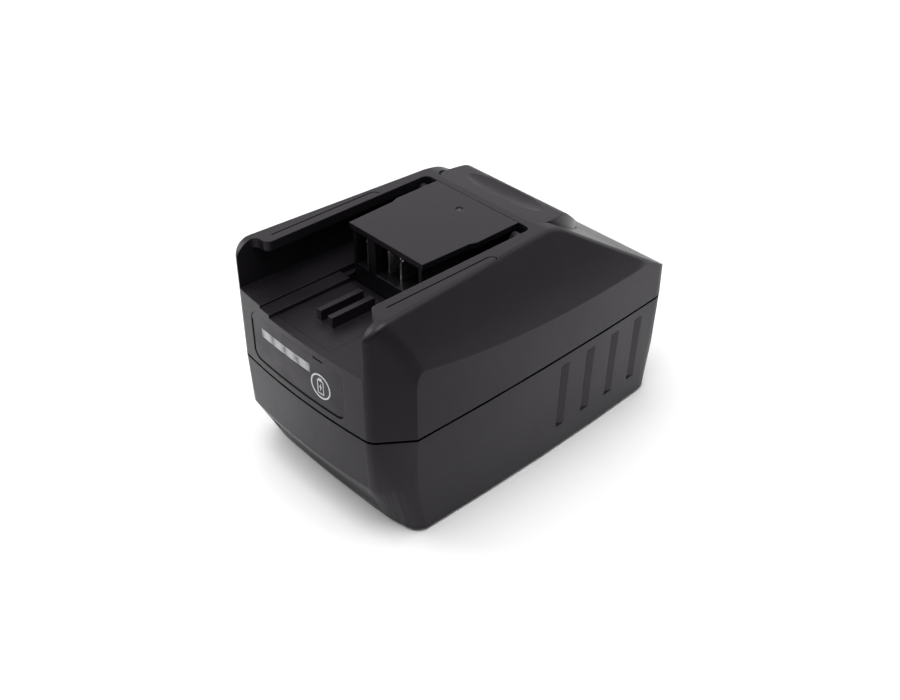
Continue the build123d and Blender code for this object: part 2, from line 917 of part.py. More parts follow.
# Light window: clear bar with a groove between the segments
with BuildPart() as led_window:
    add(front_band(panel_sink, window_depth, window_low, window_high))
    add(
        box_between(
            (window_left, window_right), (-overrun, window_depth + overrun), (window_low, window_high)
        ),
        mode=Mode.INTERSECT,
    )
    for number in range(1, window_segments):
        place = window_left + number * segment_pitch
        add(
            box_between(
                (place - segment_groove / 2, place + segment_groove / 2),
                (-overrun, front_depth(place) + segment_groove),
                (window_low, window_high),
            ),
            mode=Mode.SUBTRACT,
        )

# Cap of the gauge button, bulged like the front it sits in
flange_radius = button_radius + button_flange
flange_face = wall_back(button_place + flange_radius) + button_rest_gap
with BuildPart() as button_cap:
    add(front_band(button_face, flange_face, seam_top, floor_height))
    add(
        front_rod(button_place, button_height, -overrun, wall + overrun, button_radius),
        mode=Mode.INTERSECT,
    )

# Gauge button: round cap, a flange that stops it behind the wall and a stem to the switch
with BuildPart() as gauge_button:
    flange = (flange_face, flange_face + button_flange_thickness)
    add(front_rod(button_place, button_height, *flange, flange_radius, recess_sides))
    add(button_cap.part)
    stem = (flange_face, button_stem_end)
    add(front_rod(button_place, button_height, *stem, button_stem_radius, screw_sides))

# Switch behind the button, on the gauge board
with BuildPart() as tact_switch:
    add(
        box_between(
            (button_place - switch_size / 2, button_place + switch_size / 2),
            (gauge_board_face - switch_depth, gauge_board_face),
            (button_height - switch_size / 2, button_height + switch_size / 2),
        )
    )
    add(
        front_rod(
            button_place,
            button_height,
            gauge_board_face - switch_depth - switch_plunger,
            gauge_board_face,
            switch_plunger_radius,
            screw_sides,
        )
    )

# Lamps behind the window, one to a segment
with BuildPart() as gauge_leds:
    for number in range(window_segments):
        place = window_left + (number + 1 / 2) * segment_pitch
        add(
            box_between(
                (place - led_share * segment_pitch / 2, place + led_share * segment_pitch / 2),
                (gauge_board_face - led_depth, gauge_board_face),
                (window_middle - led_height / 2, window_middle + led_height / 2),
            )
        )

# Gauge board, held in the slots of two ribs behind the front wall
with BuildPart() as gauge_board:
    add(
        box_between(
            (gauge_board_left, gauge_board_right),
            (gauge_board_face, gauge_board_rear),
            (gauge_board_low, gauge_board_high),
        )
    )

# Flat ribbon from the gauge board onto the control board
with BuildPart() as gauge_ribbon:
    add(
        box_between(
            (-ribbon_width / 2, ribbon_width / 2),
            (gauge_board_rear, board_start + ribbon_landing),
            (board_top, board_top + ribbon_thickness),
        )
    )

# Terminal block: moulded housing on the control board, with two bays open to the front
with BuildPart() as terminal_block:
    add(box_between((-block_half, block_half), (block_front, block_rear), (board_top, height)))
    with BuildSketch(Plane.XY.offset(height - plate_thickness)):
        with BuildLine():
            plate_front = front + block_front - plate_overhang
            step_start = front + block_rear - plate_step_room
            edge = Line((0, plate_front), (block_half + plate_front_out, plate_front))
            flank = Line(edge @ 1, (block_half + plate_step_out, step_start))
            step = Line(flank @ 1, (block_half + plate_rear_out, step_start + plate_step_length))
            rear_flank = Line(step @ 1, (block_half + plate_rear_out, front + block_rear))
            Line(rear_flank @ 1, (0, front + block_rear))
            mirror(about=Plane.YZ)
        make_face()
    extrude(amount=plate_thickness)
    for bay in (bay_edges[0:2], bay_edges[2:4]):
        depth = (block_front, block_front + bay_depth)
        add(box_between(bay, depth, (plinth_height, height - plate_thickness)), mode=Mode.SUBTRACT)
    add(
        box_between(
            (-block_half + block_skin, block_half - block_skin),
            (block_front + block_skin, block_rear - block_skin),
            (board_top, plinth_height - block_skin),
        ),
        mode=Mode.SUBTRACT,
    )
    add(
        box_between(
            (-block_half + block_skin, block_half - block_skin),
            (block_front + bay_depth + block_skin, block_rear - block_skin),
            (board_top, height - plate_thickness - block_skin),
        ),
        mode=Mode.SUBTRACT,
    )
    for place in blade_places:
        add(
            box_between(
                (place - blade_thickness / 2 - slide_fit, place + blade_thickness / 2 + slide_fit),
                (blade_front - slide_fit, blade_front + blade_length + slide_fit),
                (board_top, plinth_height),
            ),
            mode=Mode.SUBTRACT,
        )
    with BuildSketch(Plane.XY.offset(height - dimple_depth)):
        with Locations((0, front + block_rear - dimple_room)):
            Circle(dimple_radius)
    extrude(amount=dimple_depth, mode=Mode.SUBTRACT)


def contact_blade(place):
    """Contact blade: flat strip that stands on the board, with a rounded leading corner."""
    with BuildPart() as blade:
        with BuildSketch(Plane.YZ.offset(place - blade_thickness / 2)) as flat:
            with Locations((front + blade_front + blade_length / 2, (board_top + blade_top) / 2)):
                Rectangle(blade_length, blade_top - board_top)
            fillet(flat.vertices().group_by(Axis.Y)[-1].sort_by(Axis.X)[0], blade_radius)
        extrude(amount=blade_thickness)
    return blade.part


# Bottom case: drafted shell with a set-back chin, a tongue that enters the top case and screw bosses
def lower_form(low, chords, inset=0.0, setback=0.0):
    """Body of the bottom case up to the seam, or the room inside it when inset is the wall."""
    bevel = 0.0 if inset else base_edge
    with BuildPart() as form:
        if bevel:
            with BuildSketch(Plane.XY.offset(low)):
                add(base_outline(bevel, 0.0, chords))
        with BuildSketch(Plane.XY.offset(low + bevel)):
            add(base_outline(inset, setback, chords))
        with BuildSketch(Plane.XY.offset(chin_height)):
            add(case_outline(inset + chin_draft, chords))
        with BuildSketch(Plane.XY.offset(seam_low)):
            add(case_outline(inset, chords))
        loft(ruled=True)
    return form.part


# Finger grip: shallow rounded hollow in the chin
with BuildPart() as grip:
    chin_steepness = foot_setback / chin_height
    grip_place = foot_setback - grip_height * chin_steepness
    chin_slant = (1 + chin_steepness**2) ** 0.5
    reach = (grip_radius - grip_depth) / chin_slant
    grip_half = nose_half - grip_end_in
    with BuildSketch(Plane.YZ.offset(-grip_half)):
        with Locations((front + grip_place - reach, grip_height - reach * chin_steepness)):
            Circle(grip_radius)
    extrude(amount=2 * grip_half)
    chamfer(grip.edges().filter_by(GeomType.CIRCLE), grip_end)

# Grooves along the sides, deep at their front edge and fading towards the rear
with BuildPart() as side_grooves:
    for number in range(groove_count):
        place = length - groove_room + number * groove_pitch
        for level in (groove_low, groove_high):
            flank = side_at(place) - draft * (seam_low - level) / seam_low
            tail = side_at(place + groove_width) - draft * (seam_low - level) / seam_low
            with BuildSketch(Plane.XY.offset(level)):
                with BuildLine():
                    Polyline(
                        (flank - groove_depth, front + place),
                        (flank + overrun, front + place),
                        (flank + overrun, front + place + groove_width + overrun),
                        (tail, front + place + groove_width),
                        close=True,
                    )
                make_face()
        loft()

with BuildPart() as lower_case:
    add(lower_form(0.0, outline_chords))
    add(lower_form(wall, 1, wall, grip_setback), mode=Mode.SUBTRACT)
    with BuildSketch(Plane.XY.offset(seam_low - tongue_height)):
        add(case_outline(wall - tongue_thickness, 1))
        add(case_outline(wall, 1), mode=Mode.SUBTRACT)
    extrude(amount=tongue_height + seam_gap + tongue_height)
    add(grip.part, mode=Mode.SUBTRACT)
    add(side_grooves.part, mode=Mode.SUBTRACT)
    add(mirror(side_grooves.part, about=Plane.YZ, mode=Mode.PRIVATE), mode=Mode.SUBTRACT)
    screws = front_screws + rear_screws
    add(upright(screws, (wall / 2, parting_height), boss_radius))
    recess = screw_head_radius + head_clearance
    add(upright(screws, (-overrun, screw_seat), recess, recess_sides), mode=Mode.SUBTRACT)
    add(upright(screws, (0, parting_height), screw_radius + screw_clearance), mode=Mode.SUBTRACT)

# Case screws, driven from below
with BuildPart() as case_screws:
    screws = front_screws + rear_screws
    add(upright(screws, (screw_seat - screw_head_height, screw_seat), screw_head_radius))
    add(upright(screws, (screw_seat - screw_head_height, screw_seat + screw_length), screw_radius))
    socket = (screw_seat - screw_head_height, screw_seat - screw_head_height / 2)
    add(upright(screws, socket, socket_radius, socket_sides), mode=Mode.SUBTRACT)

# Foam pad under the cells
with BuildPart() as foam_pad:
    with BuildSketch(Plane.XY.offset(wall)):
        with Locations((0, pack_middle)):
            Rectangle(cell_length, pack_depth - 2 * pad_margin)
    extrude(amount=pad_thickness)


def cell(column, layer, turn):
    """Cell lying across the pack, with its button end towards +X or, turned, towards -X."""
    across = Plane(
        origin=(0, front + first_cell + column * cell_pitch, lower_cell + layer * cell_pitch),
        x_dir=(0, 1, 0),
        z_dir=(turn, 0, 0),
    )
    with BuildPart() as body:
        with BuildSketch(across.offset(-cell_length / 2)):
            RegularPolygon(cell_diameter / 2, cell_sides)
        extrude(amount=cell_length - cell_cap_height)
        with BuildSketch(across.offset(cell_length / 2 - cell_cap_height)):
            RegularPolygon(cell_cap_radius, cell_cap_sides)
        extrude(amount=cell_cap_height)
    return body.part


def cell_holder(side):
    """Moulded frame round one end of the cells, with posts for the control board."""
    with BuildPart() as holder:
        inner = side * (cell_length / 2 - holder_depth)
        with BuildSketch(Plane.YZ.offset(inner)) as frame:
            with Locations((pack_middle, pack_centre_height)):
                Rectangle(pack_depth, pack_height)
                chamfer(frame.vertices(), holder_corner)
                with GridLocations(cell_pitch, cell_pitch, cell_columns, cell_layers):
                    RegularPolygon(
                        cell_diameter / 2 + cell_fit,
                        holder_sides,
                        major_radius=False,
                        rotation=holder_turn,
                        mode=Mode.SUBTRACT,
                    )
        extrude(amount=side * holder_depth)
        posts = tuple((side * post_place, place) for place in post_lines)
        add(upright(posts, (holder_top - holder_rim / 2, board_low), post_radius))
        bite = (board_low - board_screw_bite, board_low)
        bore = board_screw_radius + slide_fit
        add(upright(posts, bite, bore, board_screw_sides), mode=Mode.SUBTRACT)
    return holder.part


def strap(side, columns, tab_column, arm=False):
    """Nickel strap over the cells of some columns, with a tab folded over the edge of the board."""
    face = Plane.YZ.offset(side * strap_place)
    places = [front + first_cell + column * cell_pitch for column in columns]
    tab = front + board_end - arm_tab_inset if arm else front + first_cell + tab_column * cell_pitch
    with BuildPart() as sheet:
        with BuildSketch(face):
            for place in places:
                with Locations((place, (lower_cell + upper_cell) / 2)):
                    Rectangle(strap_width, cell_pitch + strap_width)
            for level in (lower_cell, upper_cell):
                with Locations(((places[0] + places[-1]) / 2, level)):
                    Rectangle(places[-1] - places[0] + strap_width, strap_width)
            if arm:
                with Locations(((places[0] + tab) / 2, arm_level)):
                    Rectangle(places[0] - tab + strap_tab_width, arm_height)
                with Locations((places[0], (upper_cell + arm_level) / 2)):
                    Rectangle(strap_tab_width, arm_level - upper_cell)
            tab_root = arm_level if arm else upper_cell
            with Locations((tab, (tab_root + board_top + strap_thickness) / 2)):
                Rectangle(strap_tab_width, board_top + strap_thickness - tab_root)
        extrude(amount=side * strap_thickness)
        fold = sorted((side * (board_half - strap_landing), side * strap_face))
        add(
            box_between(
                fold,
                (tab - front - strap_tab_width / 2, tab - front + strap_tab_width / 2),
                (board_top, board_top + strap_thickness),
            )
        )
    return sheet.part


def side_insulator(side):
    """Insulating sheet between the straps and the wall of the case."""
    with BuildPart() as sheet:
        with BuildSketch(Plane.YZ.offset(side * (strap_face + slide_fit))) as outline:
            with Locations((pack_middle, pack_centre_height)):
                Rectangle(pack_depth, pack_height)
            chamfer(outline.vertices(), holder_corner)
        extrude(amount=side * insulator_thickness)
    return sheet.part


# Control board on the posts of the cell holders
with BuildPart() as control_board:
    add(box_between((-board_half, board_half), (board_start, board_end), (board_low, board_top)))
    holes = tuple((side * post_place, place) for place in post_lines for side in (-1, 1))
    bore = board_screw_radius + slide_fit
    add(upright(holes, (board_low, board_top), bore, board_screw_sides), mode=Mode.SUBTRACT)

# Small screws that hold the control board
with BuildPart() as board_screws:
    head = (board_top, board_top + board_screw_head_height)
    add(upright(holes, head, board_screw_head, board_screw_sides))
    shank = (board_top - board_screw_length, board_top)
    add(upright(holes, shank, board_screw_radius, board_screw_sides))

# Components on the control board
with BuildPart() as board_parts:
    for x, y, size_x, size_y, size_z in block_shares:
        add(
            box_between(
                ((x - size_x / 2) * board_half, (x + size_x / 2) * board_half),
                (
                    board_start + (y - size_y / 2) * board_depth,
                    board_start + (y + size_y / 2) * board_depth,
                ),
                (board_top, board_top + size_z * tallest_block),
            )
        )
    cans = tuple((x * board_half, board_start + y * board_depth) for x, y in capacitor_shares)
    add(upright(cans, (board_top, board_top + capacitor_height), capacitor_radius))

# Temperature bead on a cell of the middle column, with two leads up to the board
with BuildPart() as thermistor:
    bead_place = front + first_cell + (cell_columns // 2) * cell_pitch
    bead_level = upper_cell + cell_diameter / 2 + bead_radius
    with BuildSketch(Plane.YZ.offset(-bead_length / 2)):
        with Locations((bead_place, bead_level)):
            RegularPolygon(bead_radius, screw_sides)
    extrude(amount=bead_length)
    leads = tuple((side * bead_lead_spread, bead_place - front) for side in (-1, 1))
    add(upright(leads, (bead_level, board_low), bead_lead_radius))

# Seat of the latch springs: bridge that stands on both cell holders
with BuildPart() as spring_seat:
    add(box_between((-seat_half, seat_half), (seat_start, seat_end), (seat_top - seat_thickness, seat_top)))
    for side in (-1, 1):
        leg = sorted((side * (seat_leg_place - seat_leg / 2), side * (seat_leg_place + seat_leg / 2)))
        add(box_between(leg, (board_end + part_gap, seat_end), (holder_top, seat_top)))
    add(
        upright(
            guide_places, (seat_top - seat_thickness, seat_top), guide_radius + slide_fit, guide_sides
        ),
        mode=Mode.SUBTRACT,
    )

# Hollow in the top of the paddle for a fingertip, faceted towards its ends
with BuildPart() as finger_scoop:
    scoop_round = (scoop_half_width**2 + scoop_depth**2) / (2 * scoop_depth)
    scoop_drop = crest_drop * scoop_share / crest_share
    scoop_place = front + paddle_front + scoop_share * paddle_length
    scoop_axis = paddle_top - scoop_drop - scoop_depth + scoop_round
    with BuildSketch(Plane((0, scoop_place, scoop_axis), (1, 0, 0), (0, -1, 0))):
        with BuildLine():
            steps = [number / scoop_steps for number in range(-scoop_steps, scoop_steps + 1)]
            bowl = [(step * scoop_half, scoop_depth * step**2 - scoop_round) for step in steps]
            Polyline((-scoop_half, 0), *bowl, (scoop_half, 0), close=True)
        make_face()
    revolve(axis=Axis((0, scoop_place, scoop_axis), (1, 0, 0)))

# Room inside the paddle, open downwards
with BuildPart() as paddle_room:
    with BuildSketch(Plane.XY):
        add(paddle_outline(skirt_thickness))
    extrude(amount=height)
    add(paddle_profile(paddle_skin), mode=Mode.INTERSECT)

# Release paddle: hollow cap with a finger scoop, two latch arms and two guide posts
with BuildPart() as release_paddle:
    with BuildSketch(Plane.XY.offset(guide_end)):
        add(paddle_outline())
    extrude(amount=paddle_top - guide_end)
    add(paddle_profile(0.0), mode=Mode.INTERSECT)
    add(paddle_profile(skirt_depth), mode=Mode.SUBTRACT)
    add(finger_scoop.part, mode=Mode.SUBTRACT)
    add(paddle_room.part, mode=Mode.SUBTRACT)
    add(upright(guide_places, (guide_end, spring_top + spring_pad), guide_radius, guide_sides))
    add(upright(guide_places, (spring_top, spring_top + spring_pad), spring_pad_radius, guide_sides))
    for side in (-1, 1):
        arm = sorted((side * arm_inner, side * arm_outer))
        with BuildSketch(Plane.YZ.offset(arm[0])):
            with BuildLine():
                Polyline(
                    (front + paddle_front + skirt_thickness, arm_low),
                    (front + arm_start, arm_low),
                    (front + arm_start, arm_low + arm_thickness),
                    (front + arm_start + hook_slope, arm_low + arm_thickness + hook_nose),
                    (front + arm_start + hook_length, arm_low + arm_thickness + hook_nose),
                    (front + arm_start + hook_length, arm_low + arm_thickness),
                    (front + paddle_front + skirt_thickness, arm_low + arm_thickness),
                    close=True,
                )
            make_face()
        extrude(amount=arm[1] - arm[0])


def latch_spring(place):
    """Return spring round a guide post, between the seat and the paddle."""
    with BuildPart() as spring:
        with BuildSketch(Plane.XY.offset(seat_top)):
            with Locations((place[0], front + place[1])):
                RegularPolygon(spring_outer, guide_sides)
                RegularPolygon(spring_inner, guide_sides, mode=Mode.SUBTRACT)
        extrude(amount=spring_top - seat_top)
    return spring.part


pieces = {
    "upper_case": upper_case.part,
    "lower_case": lower_case.part,
    "terminal_block": terminal_block.part,
    "gauge_panel": gauge_panel.part,
    "led_window": led_window.part,
    "gauge_button": gauge_button.part,
    "tact_switch": tact_switch.part,
    "gauge_leds": gauge_leds.part,
    "gauge_board": gauge_board.part,
    "gauge_ribbon": gauge_ribbon.part,
    "control_board": control_board.part,
    "board_screws": board_screws.part,
    "board_parts": board_parts.part,
    "thermistor": thermistor.part,
    "foam_pad": foam_pad.part,
    "release_paddle": release_paddle.part,
    "spring_seat": spring_seat.part,
    "case_screws": case_screws.part,
    "latch_spring_left": latch_spring(guide_places[0]),
    "latch_spring_right": latch_spring(guide_places[1]),
    "cell_holder_left": cell_holder(-1),
    "cell_holder_right": cell_holder(1),
    "side_insulator_left": side_insulator(-1),
    "side_insulator_right": side_insulator(1),
    "strap_left_1": strap(-1, (0,), 0),
    "strap_left_2": strap(-1, (1, 2), 1),
    "strap_left_3": strap(-1, (3, 4), 3, arm=True),
    "strap_right_1": strap(1, (0, 1), 0),
    "strap_right_2": strap(1, (2, 3), 2),
    "strap_right_3": strap(1, (4,), 4, arm=True),
}
for name, place in zip(blade_names, blade_places):
    pieces[name] = contact_blade(place)
for column in range(cell_columns):
    for layer in range(cell_layers):
        turn = 1 if column % 2 else -1
        pieces[f"cell_{column * cell_layers + layer + 1}"] = cell(column, layer, turn)

for name, piece in pieces.items():
    piece.label = name
    export_step(piece, f"parts/{name}.step")
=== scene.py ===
"""Power tool battery pack: finishes, small fitted pieces, light and camera for the fixed CAD frame."""
import bpy
import bmesh
import math
from mathutils import Matrix, Vector

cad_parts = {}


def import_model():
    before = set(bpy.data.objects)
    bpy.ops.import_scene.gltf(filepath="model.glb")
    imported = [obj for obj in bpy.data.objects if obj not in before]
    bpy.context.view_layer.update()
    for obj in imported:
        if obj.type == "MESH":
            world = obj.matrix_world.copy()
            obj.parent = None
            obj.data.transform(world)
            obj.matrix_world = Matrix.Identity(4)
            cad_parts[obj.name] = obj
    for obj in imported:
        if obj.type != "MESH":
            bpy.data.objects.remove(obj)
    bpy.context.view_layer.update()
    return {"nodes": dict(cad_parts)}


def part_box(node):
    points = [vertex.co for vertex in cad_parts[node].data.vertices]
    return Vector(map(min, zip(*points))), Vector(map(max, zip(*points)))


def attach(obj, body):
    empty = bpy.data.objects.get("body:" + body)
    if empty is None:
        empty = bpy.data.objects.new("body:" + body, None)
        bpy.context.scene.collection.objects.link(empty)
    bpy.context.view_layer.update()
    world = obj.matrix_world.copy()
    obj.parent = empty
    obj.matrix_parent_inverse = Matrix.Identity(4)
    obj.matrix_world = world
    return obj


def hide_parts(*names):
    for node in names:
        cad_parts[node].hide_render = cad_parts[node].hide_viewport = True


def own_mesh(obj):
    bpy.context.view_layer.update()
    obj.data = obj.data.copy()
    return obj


MM = 0.001

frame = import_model()
nodes = frame["nodes"]

case_low, case_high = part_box("upper_case")
base_low, base_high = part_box("lower_case")
button_low, button_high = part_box("gauge_button")
cell_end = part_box("cell_1")[1].x
FRONT = case_low.y
TOP = case_high.z
BUTTON_X = (button_low.x + button_high.x) / 2
BUTTON_Z = (button_low.z + button_high.z) / 2

# Bulge of the front face, as in the CAD: depth behind its middle at the half width of the nose
NOSE_HALF = 28.5 * MM
NOSE_BULGE = 1.6 * MM
# How far the faces of ink and light window lie behind the front, and how deep both go
FACE_BEHIND = 0.1 * MM
INK_DEPTH = 0.04 * MM
WINDOW_DEPTH = 4.6 * MM
# Four lamps behind the window: their light and the shade between them are painted into its colour
LAMPS = 4
# Printed ring round the button
RING_OUTER = 4.3 * MM
RING_INNER = 3.75 * MM
# Black strip of painted shade at the edge of the gauge film: radius of its corners, width, place behind
# the front and thickness
FILM_CORNER = 3.2 * MM
FILM_LINE = 0.55 * MM
FILM_BEHIND = 0.09 * MM
FILM_THICK = 0.04 * MM
# Contact blades: radius of the leading corner and width of the coined edges
BLADE_CORNER = 2.3 * MM
BLADE_COINING = 0.16 * MM
# Middle of the dimple before the rear edge of the terminal block
DIMPLE_ROOM = 7.2 * MM
# Return springs of the latch: wire
SPRING_WIRE = 0.7 * MM
# Shadow gap between the halves of the case: room in which the outer walls are found, and how far
# the edge of each half draws back
WALL_ROOM = 0.3 * MM
UPPER_BACK = 0.12 * MM
LOWER_BACK = 0.18 * MM
# Shading of the shells: faces that meet below the angle FLAT are one, faces narrower than NARROW are
# bevels, and bevels look round up to the angle HARD
FLAT = math.radians(7)
NARROW = 3.0 * MM
HARD = math.radians(58)
# Faint violet that dark nylon and film show in a highlight
HIGHLIGHT = (0.98, 0.88, 1.0, 1.0)


def nose_at(x):
    """How far the front face lies behind its middle at x."""
    return NOSE_BULGE * (x / NOSE_HALF) ** 2


# Colours and shader nodes

def linear(hex_colour):
    """A display colour written as six hex digits, as linear light with full opacity."""
    out = []
    for at in (0, 2, 4):
        v = int(hex_colour[at:at + 2], 16) / 255
        out.append(v / 12.92 if v <= 0.04045 else ((v + 0.055) / 1.055) ** 2.4)
    return (*out, 1.0)


def shader(name):
    """New material with an empty tree: returns it, its tree, its shader and its object coordinates."""
    mat = bpy.data.materials.new(name)
    mat.use_nodes = True
    tree = mat.node_tree
    tree.nodes.clear()
    out = tree.nodes.new("ShaderNodeOutputMaterial")
    bsdf = tree.nodes.new("ShaderNodeBsdfPrincipled")
    tree.links.new(bsdf.outputs["BSDF"], out.inputs["Surface"])
    coords = tree.nodes.new("ShaderNodeTexCoord").outputs["Object"]
    return mat, tree, bsdf, coords


def node(tree, kind, settings=None, **inputs):
    """Adds a node: settings are its own properties, inputs are values or sockets to link. An input is
    named as on the node, with _ for a space, or by its number after the letter i."""
    made = tree.nodes.new("ShaderNode" + kind)
    for key, value in (settings or {}).items():
        setattr(made, key, value)
    for key, value in inputs.items():
        numbered = key[0] == "i" and key[1:].isdigit()
        socket = made.inputs[int(key[1:]) if numbered else key.replace("_", " ")]
        if isinstance(value, bpy.types.NodeSocket):
            tree.links.new(value, socket)
        else:
            socket.default_value = value
    return made


def noise(tree, coords, size_mm, detail=2.0, roughness=0.5, distortion=0.0):
    """Noise whose features are about size_mm across, with coordinates in metres."""
    made = node(tree, "TexNoise", Scale=1.0 / (size_mm * MM), Detail=detail, Roughness=roughness,
                Distortion=distortion, Vector=coords)
    return made.outputs["Fac"]


def remap(tree, value, low, high, out_low, out_high):
    """A value between low and high, turned into one between out_low and out_high."""
    return node(tree, "MapRange", None, i0=value, i1=low, i2=high, i3=out_low, i4=out_high).outputs[0]


def ramp(tree, value, *stops):
    """Colour ramp through (place, hex colour) stops."""
    made = node(tree, "ValToRGB", None, Fac=value)
    points = made.color_ramp.elements
    while len(points) < len(stops):
        points.new(0.5)
    for point, (place, colour) in zip(points, stops):
        point.position = place
        point.color = linear(colour)
    return made.outputs["Color"]


def mix(tree, fac, a, b):
    """Colour a where fac is 0 and colour b where it is 1."""
    return node(tree, "Mix", {"data_type": "RGBA"}, i0=fac, i6=a, i7=b).outputs[2]


def maths(tree, operation, a, b=0.0):
    """One step of arithmetic on one or two values."""
    return node(tree, "Math", {"operation": operation}, i0=a, i1=b).outputs[0]


def bump(tree, bsdf, height, depth_mm, edge_mm=0.0):
    """Relief of a height field that goes from 0 to 1 over depth_mm, on edges softened over edge_mm."""
    made = node(tree, "Bump", None, Height=height, Strength=1.0, Distance=depth_mm * MM)
    if edge_mm:
        soft = node(tree, "Bevel", {"samples": 6}, Radius=edge_mm * MM)
        tree.links.new(soft.outputs[0], made.inputs["Normal"])
    tree.links.new(made.outputs["Normal"], bsdf.inputs["Normal"])


def sheen(bsdf, level, tint=(1.0, 1.0, 1.0, 1.0)):
    """Strength and colour of the highlight."""
    bsdf.inputs["Specular IOR Level"].default_value = level
    bsdf.inputs["Specular Tint"].default_value = tint


# Materials

def moulded(name, dark, light, rough, grain_mm=0.35, grain_depth=0.012):
    """Injection-moulded plastic: spark-eroded grain, faint flow marks, uneven gloss and eased edges."""
    mat, tree, bsdf, coords = shader(name)
    flow = noise(tree, coords, 22.0, 3.0, 0.55, 0.4)
    fleck = noise(tree, coords, 0.8, 2.0, 0.6)
    tone = maths(tree, "ADD", maths(tree, "MULTIPLY", flow, 0.75), maths(tree, "MULTIPLY", fleck, 0.25))
    tree.links.new(ramp(tree, tone, (0.3, dark), (0.7, light)), bsdf.inputs["Base Color"])
    gloss = maths(tree, "ADD", maths(tree, "MULTIPLY", flow, 0.6),
                  maths(tree, "MULTIPLY", noise(tree, coords, 1.6, 2.0), 0.4))
    tree.links.new(remap(tree, gloss, 0.3, 0.7, rough - 0.05, rough + 0.05), bsdf.inputs["Roughness"])
    pits = node(tree, "TexVoronoi", {"feature": "SMOOTH_F1"}, Scale=1 / (grain_mm * MM), Vector=coords)
    grain = maths(tree, "ADD", pits.outputs["Distance"], noise(tree, coords, grain_mm * 0.6, 2.0, 0.6))
    bump(tree, bsdf, grain, grain_depth, 0.35)
    sheen(bsdf, 0.36, HIGHLIGHT)
    return mat


# Top and bottom case: charcoal glass-filled nylon, injection moulded in a finely eroded tool
case_plastic = moulded("case_plastic", "141215", "1a181b", 0.40)
# Paddle: the same nylon from a smoother tool, worn to a slight gloss by thumbs
paddle_plastic = moulded("paddle_plastic", "171518", "1d1b1e", 0.36, 0.5, 0.008)
# Terminal block: black heat-resistant nylon, satin from a polished insert
block_plastic = moulded("block_plastic", "131214", "18161a", 0.34, 0.7, 0.005)
# Button: matt black acetal cap
button_plastic = moulded("button_plastic", "19171a", "1f1c20", 0.38, 0.4, 0.006)
# Cell frames: natural grey polycarbonate blend, moulded
frame_plastic = moulded("frame_plastic", "3a3c3f", "46484c", 0.5, 0.5, 0.012)
# Spring seat: black acetal
seat_plastic = moulded("seat_plastic", "1c1c1e", "242427", 0.42, 0.5, 0.008)


def film():
    """Gauge panel: polycarbonate film with a velvet face, printed dark grey from behind."""
    mat, tree, bsdf, coords = shader("gauge_film")
    tone = noise(tree, coords, 14.0, 2.0)
    tree.links.new(ramp(tree, tone, (0.3, "161417"), (0.7, "1c1a1e")), bsdf.inputs["Base Color"])
    wiped = noise(tree, coords, 5.0, 3.0)
    tree.links.new(remap(tree, wiped, 0.3, 0.7, 0.36, 0.46), bsdf.inputs["Roughness"])
    bump(tree, bsdf, noise(tree, coords, 0.22, 2.0, 0.6), 0.006, 0.2)
    sheen(bsdf, 0.33, HIGHLIGHT)
    return mat


def light_bar():
    """Light window: milky acrylic, mottled, with painted lamp light paler before each lamp and painted
    shade between the lamps.
    """
    mat, tree, bsdf, coords = shader("light_bar")
    cloud = noise(tree, coords, 1.3, 3.0, 0.6)
    window_low, window_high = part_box("led_window")
    pitch = (window_high.x - window_low.x) / LAMPS
    along = node(tree, "SeparateXYZ", None, Vector=coords).outputs["X"]
    block = maths(tree, "DIVIDE", maths(tree, "SUBTRACT", along, window_low.x), pitch)
    off_middle = maths(tree, "SUBTRACT", maths(tree, "FRACT", block), 0.5)
    # Painted light and shade: paler in the middle of each lamp's block, darker towards its ends
    edge = maths(tree, "MULTIPLY", maths(tree, "ABSOLUTE", off_middle), 2.0)
    swirl = maths(tree, "MULTIPLY", maths(tree, "SUBTRACT", cloud, 0.5), 1.4)
    shades = ((0.0, "bdbcc0"), (0.6, "abaaaf"), (0.82, "8a898f"), (1.0, "6c6a72"))
    mottled = maths(tree, "ADD", edge, swirl)
    tree.links.new(ramp(tree, mottled, *shades), bsdf.inputs["Base Color"])
    bsdf.inputs["Roughness"].default_value = 0.32
    bsdf.inputs["Subsurface Weight"].default_value = 0.15
    bsdf.inputs["Subsurface Radius"].default_value = (0.001, 0.001, 0.001)
    bump(tree, bsdf, cloud, 0.01)
    return mat


def print_white():
    """Ring and sign: white pad-printed ink, a little uneven where the pad lifted."""
    mat, tree, bsdf, coords = shader("print_white")
    spots = noise(tree, coords, 0.25, 2.0, 0.6)
    tree.links.new(ramp(tree, spots, (0.25, "c9c8cb"), (0.6, "e6e5e7")), bsdf.inputs["Base Color"])
    bsdf.inputs["Roughness"].default_value = 0.45
    bump(tree, bsdf, spots, 0.006)
    return mat


def metal(name, dark, light, rough, grain, grain_mm=0.3):
    """Metal with a drawn or tumbled grain: noise stretched along the working direction."""
    mat, tree, bsdf, coords = shader(name)
    stretched = node(tree, "Mapping", None, Vector=coords, Scale=grain).outputs[0]
    lines = noise(tree, stretched, grain_mm, 3.0, 0.6)
    stain = noise(tree, coords, 3.5, 3.0, 0.55)
    tree.links.new(ramp(tree, stain, (0.3, dark), (0.7, light)), bsdf.inputs["Base Color"])
    bsdf.inputs["Metallic"].default_value = 1.0
    tree.links.new(remap(tree, lines, 0.3, 0.7, rough - 0.08, rough + 0.08), bsdf.inputs["Roughness"])
    bump(tree, bsdf, lines, 0.008)
    return mat


# Contact blades: tin-plated copper strip, brushed along its length by use
blade_metal = metal("blade_metal", "d9d7d3", "f4f2ee", 0.34, (1.0, 0.12, 1.0))
# Straps: bright rolled nickel strip
nickel = metal("nickel_strip", "a9a9a4", "cfcfca", 0.3, (1.0, 1.0, 0.1))
# Screws: zinc-plated steel, tumbled
zinc = metal("zinc_steel", "8f9296", "bfc2c6", 0.34, (1.0, 1.0, 1.0), 0.5)
